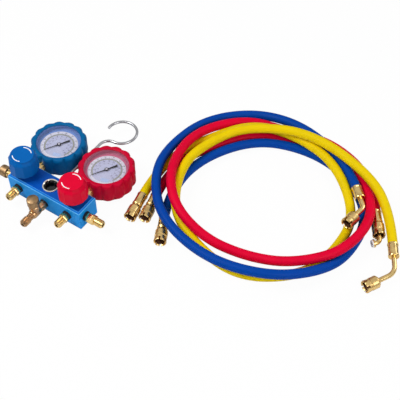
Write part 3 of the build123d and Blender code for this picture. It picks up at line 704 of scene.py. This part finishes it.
# dish is how hollow the bevel is, and draw how fast its facets come in
knob = {"radius": 19.6, "bottom": 39.6, "top": 65.8, "facets": 11, "face": 16.0, "bevel": 6.0, "skirt": 1.0,
        "hollow": 12.0, "recess": 7.0, "roundFoot": 4.0, "flat": 0.5, "taper": 1.1, "dish": 0.8, "draw": 1.2}
arcInks = {"radius": 12.1, "width": 1.3, "middles": (83, 260), "span": 76, "thickness": 0.12, "proud": 0.05}


def knobShape():
    # a moulded cap: flat facets round its wall, each with a steep dished bevel up to the round face
    bottom, top = knob["bottom"], knob["top"]
    radius, face, hollow = knob["radius"], knob["face"], knob["hollow"]
    wallFoot, bevelFoot, roof = bottom + knob["skirt"], top - knob["bevel"], bottom + knob["recess"]
    # rows up the wall, and steps along each facet
    fine = 10
    wall = [(radius, wallFoot + (bevelFoot - wallFoot) * row / fine) for row in range(fine + 1)]
    bevel = [(radius + (face - radius) * share, bevelFoot + (knob["bevel"] - 0.3) * share ** knob["dish"])
             for share in (0.1, 0.3, 0.5, 0.7, 0.9)]
    bm = spunShape([(0.0, roof), (hollow, roof), (hollow, bottom), (radius - knob["skirt"], bottom)] + wall
                   + bevel + [(face, top - 0.25), (face - 0.5, top), (0.0, top)], knob["facets"] * fine)
    pitch = math.tau / knob["facets"]
    facetFoot = bottom + knob["roundFoot"]
    for vert in bm.verts:
        flat, high = vert.co.xy.length / mm, vert.co.z / mm
        if flat < face - 0.2 or high < bottom + 0.5:
            continue
        turn = (math.atan2(vert.co.y, vert.co.x) + pitch / 2) % pitch - pitch / 2
        risen = min(1.0, max(0.0, (high - facetFoot) / (bevelFoot - facetFoot)))
        inward = max(0.0, radius - flat) * knob["draw"]
        reach = (radius - knob["flat"] - knob["taper"] * risen - inward) / math.cos(turn)
        vert.co.xy *= max(face - 2.0, min(flat, reach)) / flat
    return bm


def arcInk(middle):
    # a flat printed arc
    half = math.radians(arcInks["span"] / 2)
    bm = bmesh.new()
    inner, outer = [bm.verts.new(((arcInks["radius"] + share * arcInks["width"]) * mm, 0,
                                  (knob["top"] + arcInks["proud"]) * mm)) for share in (-0.5, 0.5)]
    edge = bm.edges.new((inner, outer))
    bmesh.ops.spin(bm, geom=[inner, outer, edge], cent=(0, 0, 0), axis=(0, 0, 1), angle=2 * half, steps=20)
    bmesh.ops.rotate(bm, verts=bm.verts, cent=(0, 0, 0),
                     matrix=Matrix.Rotation(math.radians(middle) - half, 3, "Z"))
    bmesh.ops.recalc_face_normals(bm, faces=bm.faces)
    bmesh.ops.solidify(bm, geom=list(bm.faces), thickness=arcInks["thickness"] * mm)
    bmesh.ops.recalc_face_normals(bm, faces=bm.faces)
    return bm


for side, x in sides.items():
    at = Matrix.Translation((x * mm, 0, 0))
    addPiece(f"{side}Knob", knobShape(), knobFinish[side], f"{side}_handwheel", at,
             [f"{side}_valve_knob"], 30)
    arcs = joined(*[arcInk(middle) for middle in arcInks["middles"]])
    addPiece(f"{side}KnobArcs", arcs, inkWhite, f"{side}_handwheel", at)
print("knobs made")

# gauges

gauge = {"y": 67.7, "boot": 38.7, "lobes": 14, "height": 32.0, "opening": 30.4, "cavity": 34.0, "wall": 2.5,
         "dialTop": 22.9, "zero": 240.0, "sweep": 270.0, "lean": 15.0}
# between the lobes: from which radius, how deep and how sharp, and how much shallower at which height
notch = {"inner": 34.7, "fade": 2.5, "depth": 3.2, "sharpness": 2.2, "shallower": 0.7, "height": 16.0,
         "spread": 7.0, "steps": 12}
# pale field printed low on the dial
panel = {"across": 4.0, "below": 17.2, "halfWidth": 5.5, "halfHeight": 3.0}


def bootShape():
    # moulded rubber cup, its wall and rim notched between broad lobes
    rim, top, opening = gauge["boot"], gauge["height"], gauge["opening"]
    cavity, wall = gauge["cavity"], gauge["wall"]
    bm = spunShape([(0.0, 0.0), (rim - 5.3, 0.0), (rim - 3.4, 0.9), (rim - 1.3, 2.8), (rim - 0.3, 4.6),
                    (rim, 6.4), (rim, 10.0), (rim - 0.2, 13.0), (rim - 0.3, 17.0), (rim - 0.2, 21.0),
                    (rim, 24.5), (rim, top - 4.5), (rim - 0.4, top - 2.6), (rim - 1.4, top - 1.1),
                    (rim - 2.9, top - 0.2), (rim - 4.4, top), (opening + 1.6, top - 0.4),
                    (opening + 0.6, top - 0.7), (opening, top - 1.3), (opening, top - wall),
                    (cavity, top - wall), (cavity, wall), (0.0, wall)], gauge["lobes"] * notch["steps"])
    for vert in bm.verts:
        flat = vert.co.xy.length / mm
        if flat < notch["inner"]:
            continue
        turn = math.atan2(vert.co.y, vert.co.x) * gauge["lobes"] / math.tau % 1
        cut = (1 - abs(2 * turn - 1)) ** notch["sharpness"]
        cut *= min(1.0, (flat - notch["inner"]) / notch["fade"])
        away = (vert.co.z / mm - notch["height"]) / notch["spread"]
        cut *= 1 - notch["shallower"] * math.exp(-away ** 2)
        vert.co.xy *= (flat - notch["depth"] * cut) / flat
    return bm


def dialFinish(side, x):
    # printed face: a scale ring with ticks, and lighter scales inside it
    paint = Paint(f"dial{side.title()}", Roughness=0.45)
    centre = (x, gauge["y"], 0)
    across, along = paint.split(paint.place(centre), "XY")
    radius = (across * across + along * along).maths("SQRT")
    # degrees clockwise from the zero
    angle = along.maths("ARCTAN2", across) * math.degrees(1)
    swept = (gauge["zero"] - angle).maths("WRAP", 360.0, 0.0)
    onScale = swept < gauge["sweep"] + 1

    def ring(inner, outer):
        return (radius > inner) * (radius < outer)

    def ticks(every, width, inner, outer):
        phase = ((swept / every).maths("FRACT") - 0.5).maths("ABSOLUTE")
        return (phase > 0.5 - width / every / 2) * ring(inner, outer) * onScale
    turned, risen = paint.split(paint.place(centre, (0, 0, math.radians(-gauge["lean"]))), "XY")
    inWidth = (turned - panel["across"]).maths("ABSOLUTE") < panel["halfWidth"]
    inHeight = (risen + panel["below"]).maths("ABSOLUTE") < panel["halfHeight"]
    # what is printed, from the first ink to the last
    inks = [(ring(21.3, 25.9), colour(214, 212, 226)),
            (ring(19.1, 20.5) * onScale * 0.85, colour(150, 152, 118)),
            ((ring(18.9, 19.15) + ring(20.45, 20.7)) * onScale, colour(92, 92, 84)),
            (ticks(2.7, 0.55, 20.7, 21.7), colour(90, 88, 100)),
            (ticks(13.5, 0.9, 20.7, 22.6), colour(50, 48, 60)),
            (ticks(5.4, 0.7, 18.0, 18.9), colour(120, 100, 150)),
            ((ring(15.2, 15.35) + ring(11.6, 11.75)) * onScale * 0.6, colour(130, 116, 160)),
            (ticks(9.0, 1.2, 14.5, 15.2), colour(120, 104, 150)),
            (ticks(13.5, 1.6, 11.0, 11.6), colour(120, 104, 150)),
            (inWidth * inHeight * 0.5, colour(160, 192, 236))]
    paper = paint.noise(paint.place(), 0.35, 2.0)
    tone = paint.mix(paper, colour(172, 176, 204), colour(194, 196, 222))
    for mask, ink in inks:
        tone = paint.mix(mask, tone, ink)
    paint.set("Base Color", tone)
    return paint.material


# the rows of figures: how far out, how tall, and in degrees from the zero where they start and follow
figures = {"outer": {"radius": 23.7, "size": 3.0, "start": 0, "step": 27},
           "middle": {"radius": 16.7, "size": 3.1, "start": 6, "step": 23.5},
           "inner": {"radius": 12.7, "size": 2.7, "start": 10, "step": 28}}
scales = {"low": {"outer": range(0, 110, 10), "middle": range(-40, 50, 8), "inner": range(-30, 60, 9)},
          "high": {"outer": range(0, 44, 4), "middle": range(-20, 92, 10), "inner": range(-40, 50, 9)}}


def numerals(side, row):
    # upright figures round the scale
    look = figures[row]
    radius, height = look["radius"], gauge["dialTop"] + 0.03
    whole = bmesh.new()
    for place, value in enumerate(scales[side][row]):
        text = bpy.data.curves.new("figure", "FONT")
        text.body = str(value)
        text.size = look["size"] * mm
        text.align_x, text.align_y = "CENTER", "CENTER"
        text.resolution_u = 2
        holder = bpy.data.objects.new("figure", text)
        mesh = bpy.data.meshes.new_from_object(holder)
        angle = math.radians(gauge["zero"] - look["start"] - look["step"] * place)
        spot = Vector((radius * math.cos(angle), radius * math.sin(angle), height)) * mm
        mesh.transform(Matrix.Translation(spot) @ Matrix.Rotation(math.radians(gauge["lean"]), 4, "Z"))
        whole.from_mesh(mesh)
        bpy.data.objects.remove(holder)
        bpy.data.curves.remove(text)
        bpy.data.meshes.remove(mesh)
    bmesh.ops.remove_doubles(whole, verts=whole.verts, dist=1e-7)
    return whole


pointer = {"reach": 22.2, "tip": 0.2, "waist": 0.75, "tail": 15.5, "tailWidth": 1.55, "neck": 5.0,
           "bottom": 24.2, "thickness": 0.6, "hub": 2.8, "hubTop": 25.6, "bore": 0.9}


def pointerShape():
    # pressed blade, fine towards its tip and broad at its tail, on a turned hub
    bottom, hub, hubTop, bore = pointer["bottom"], pointer["hub"], pointer["hubTop"], pointer["bore"]
    half = [(pointer["reach"], pointer["tip"]), (0, pointer["waist"]), (-pointer["neck"], pointer["waist"]),
            (-pointer["tail"], pointer["tailWidth"])]
    outline = half + [(x, -y) for x, y in reversed(half)]
    bm = bmesh.new()
    bm.faces.new([bm.verts.new((x * mm, y * mm, bottom * mm)) for x, y in outline])
    made = bmesh.ops.extrude_face_region(bm, geom=list(bm.faces))["geom"]
    bmesh.ops.translate(bm, verts=parts(made, bmesh.types.BMVert), vec=(0, 0, pointer["thickness"] * mm))
    bmesh.ops.recalc_face_normals(bm, faces=bm.faces)
    return joined(bm, spunShape([(bore, bottom), (hub, bottom), (hub, hubTop - 0.3), (hub - 0.3, hubTop),
                                 (bore, hubTop)], 32))


def pinShape():
    # the spindle's end, on top of the hub
    foot, top = pointer["hubTop"] - 0.6, pointer["hubTop"] + 0.4
    return spunShape([(0.0, foot), (1.6, foot), (1.6, top - 0.25), (1.3, top - 0.05), (0.0, top)], 24)


for side, x in sides.items():
    at = Matrix.Translation((x * mm, gauge["y"] * mm, 0))
    addPiece(f"{side}Boot", bootShape(), bootFinish[side], "manifold", at, [f"{side}_gauge_boot"], 50)
    addPiece(f"{side}OuterFigures", numerals(side, "outer"), inkSlate, "manifold", at)
    inner = joined(numerals(side, "middle"), numerals(side, "inner"))
    addPiece(f"{side}InnerFigures", inner, inkPlum, "manifold", at)
    aimed = at @ Matrix.Rotation(math.radians(gauge["zero"]), 4, "Z")
    addPiece(f"{side}Pointer", pointerShape(), pointerBlack, f"{side}_pointer", aimed, [f"{side}_pointer"])
    addPiece(f"{side}PointerPin", pinShape(), pinSilver, f"{side}_pointer", at)
print("gauges made")

# hanging hook: round wire on the same arcs as its solid

hook = {"wire": 4.0, "start": 6.0, "height": 16.0, "bendRadius": 14.0, "curlRadius": 20.8,
        "curl": (11.9, 139.6), "tip": 184.0, "offset": -2.0}


def hookShape():
    # straight shank, a bend one way and the curl the other way
    bm = bmesh.new()
    ring = bmesh.ops.create_circle(bm, segments=20, radius=hook["wire"] / 2 * mm, cap_ends=True)["verts"]
    bmesh.ops.rotate(bm, verts=ring, cent=(0, 0, 0), matrix=Matrix.Rotation(math.radians(90), 3, "X"))
    bmesh.ops.translate(bm, verts=ring, vec=Vector((0, hook["start"], hook["height"])) * mm)
    cx, cy = hook["curl"]
    reach = hook["bendRadius"] + hook["curlRadius"]
    lean = math.asin((hook["bendRadius"] - cx) / reach)
    bendY = cy - reach * math.cos(lean)
    made = bmesh.ops.extrude_face_region(bm, geom=list(bm.faces))["geom"]
    bmesh.ops.translate(bm, verts=parts(made, bmesh.types.BMVert), vec=(0, (bendY - hook["start"]) * mm, 0))
    bendCentre = Vector((hook["bendRadius"], bendY, hook["height"])) * mm
    made = bmesh.ops.spin(bm, geom=parts(made, bmesh.types.BMFace), cent=bendCentre, axis=(0, 0, -1),
                          angle=math.pi / 2 + lean, steps=18)["geom_last"]
    curlCentre = Vector((cx, cy, hook["height"])) * mm
    sweep = math.radians(hook["tip"]) + math.pi / 2 - lean
    made = bmesh.ops.spin(bm, geom=made, cent=curlCentre, axis=(0, 0, 1), angle=sweep, steps=48)["geom_last"]
    bmesh.ops.remove_doubles(bm, verts=bm.verts, dist=1e-7)
    bmesh.ops.recalc_face_normals(bm, faces=bm.faces)
    return bm


addPiece("hookWire", hookShape(), wireSteel, "hook", Matrix.Translation((hook["offset"] * mm, 0, 0)),
         ["hanging_hook"], 50)
print("hook made")

# finishes of the solids that stay

finishOf = {"manifold_block": blockBlue, "port_seals": sealBlack, "sight_glass": sightDark,
            "hook_bush": plainSteel, "left_cap_seal": sealBlack, "tee_cap_seal": sealBlack,
            "hose_gaskets": gasketWhite}
for side in sides:
    finishOf.update({f"{side}_valve_bonnet": brassBright, f"{side}_valve_piston": brassBright,
                     f"{side}_valve_stem": plainSteel, f"{side}_gauge_case": caseFinish[side],
                     f"{side}_gauge_lens": lensClear, f"{side}_gauge_socket": brassBright,
                     f"{side}_gauge_dial": dialFinish(side, sides[side]),
                     f"{side}_bourdon_tube": brassBright, f"{side}_movement_plates": plainSteel,
                     f"{side}_sector_gear": brassBright, f"{side}_link": brassBright,
                     f"{side}_pinion": brassBright})
for node, finish in finishOf.items():
    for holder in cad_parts[node].material_slots:
        holder.material = finish

# floor, backdrop and lamps

floorLook = {"colour": (0.86, 0.86, 0.86, 1), "size": 4.0, "under": (0.16, 0.11, -0.0004), "white": 0.96,
             "mirrored": 0.2}
# the heights between which the sky brightens, its strength at both, and the backdrop's share in reflections
sky = {"rise": (0.08, 0.6), "soft": (0.06, 0.4), "mirrored": (0.04, 0.75)}
lampAim = (0.16, 0.11, 0.0)
lamps = {"key": {"spot": (-0.6, -0.45, 1.25), "size": 0.8, "power": 14},
         "fill": {"spot": (1.35, -0.3, 1.0), "size": 0.9, "power": 9},
         "rear": {"spot": (1.1, 1.5, 0.9), "size": 0.8, "power": 5}}


def addFloor():
    bm = bmesh.new()
    bmesh.ops.create_grid(bm, x_segments=1, y_segments=1, size=floorLook["size"])
    mesh = bpy.data.meshes.new("floor")
    bm.to_mesh(mesh)
    bm.free()
    floor = bpy.data.objects.new("floor", mesh)
    floor.location = floorLook["under"]
    bpy.context.scene.collection.objects.link(floor)
    paint = Paint("paleFloor", Base_Color=floorLook["colour"], Roughness=0.9)
    seen = paint.node("ShaderNodeLightPath", output="Is Glossy Ray") * floorLook["mirrored"]
    for kind in ("Is Camera Ray", "Is Transmission Ray"):
        seen = seen.maths("MAXIMUM", paint.node("ShaderNodeLightPath", output=kind))
    glow = paint.node("ShaderNodeEmission", None, {"Color": (1, 1, 1, 1), "Strength": 1.0})
    mixed = paint.node("ShaderNodeMixShader", None,
                       {0: seen * floorLook["white"], 1: Wire(paint, paint.shader.outputs[0]), 2: glow})
    paint.tree.links.new(mixed.socket, paint.tree.nodes["Material Output"].inputs["Surface"])
    mesh.materials.append(paint.material)


def addWorld():
    world = bpy.data.worlds.new("studio")
    world.use_nodes = True
    bpy.context.scene.world = world
    nodes, links = world.node_tree.nodes, world.node_tree.links
    soft = nodes["Background"]
    soft.inputs["Color"].default_value = (1, 1, 1, 1)
    # brighter overhead than near the horizon, which gives round metal its stripes
    spot, split = [nodes.new(f"ShaderNode{kind}") for kind in ("TexCoord", "SeparateXYZ")]
    links.new(spot.outputs["Generated"], split.inputs[0])
    bands = []
    for strengths in (sky["soft"], sky["mirrored"]):
        band = nodes.new("ShaderNodeMapRange")
        links.new(split.outputs["Z"], band.inputs[0])
        for socket, value in enumerate(sky["rise"] + strengths, 1):
            band.inputs[socket].default_value = value
        bands.append(band.outputs[0])
    links.new(bands[0], soft.inputs["Strength"])
    # pale backdrop for the camera and for what shows through the lenses, and in part for reflections
    backdrop = nodes.new("ShaderNodeBackground")
    rays = nodes.new("ShaderNodeLightPath")
    seen = rays.outputs["Is Glossy Ray"]
    for operation, other in (("MULTIPLY", bands[1]), ("MAXIMUM", rays.outputs["Is Camera Ray"]),
                             ("MAXIMUM", rays.outputs["Is Transmission Ray"])):
        step = nodes.new("ShaderNodeMath")
        step.operation = operation
        links.new(seen, step.inputs[0])
        links.new(other, step.inputs[1])
        seen = step.outputs[0]
    mix = nodes.new("ShaderNodeMixShader")
    links.new(seen, mix.inputs[0])
    links.new(soft.outputs[0], mix.inputs[1])
    links.new(backdrop.outputs[0], mix.inputs[2])
    links.new(mix.outputs[0], nodes["World Output"].inputs["Surface"])


def addLamp(name, lampLook):
    lamp = bpy.data.lights.new(name, "AREA")
    lamp.shape = "DISK"
    lamp.size = lampLook["size"]
    lamp.energy = lampLook["power"]
    holder = bpy.data.objects.new(name, lamp)
    holder.location = lampLook["spot"]
    holder.rotation_euler = (Vector(lampLook["spot"]) - Vector(lampAim)).to_track_quat("Z", "Y").to_euler()
    bpy.context.scene.collection.objects.link(holder)


addFloor()
addWorld()
for name, lampLook in lamps.items():
    addLamp(name, lampLook)
print("stage set")
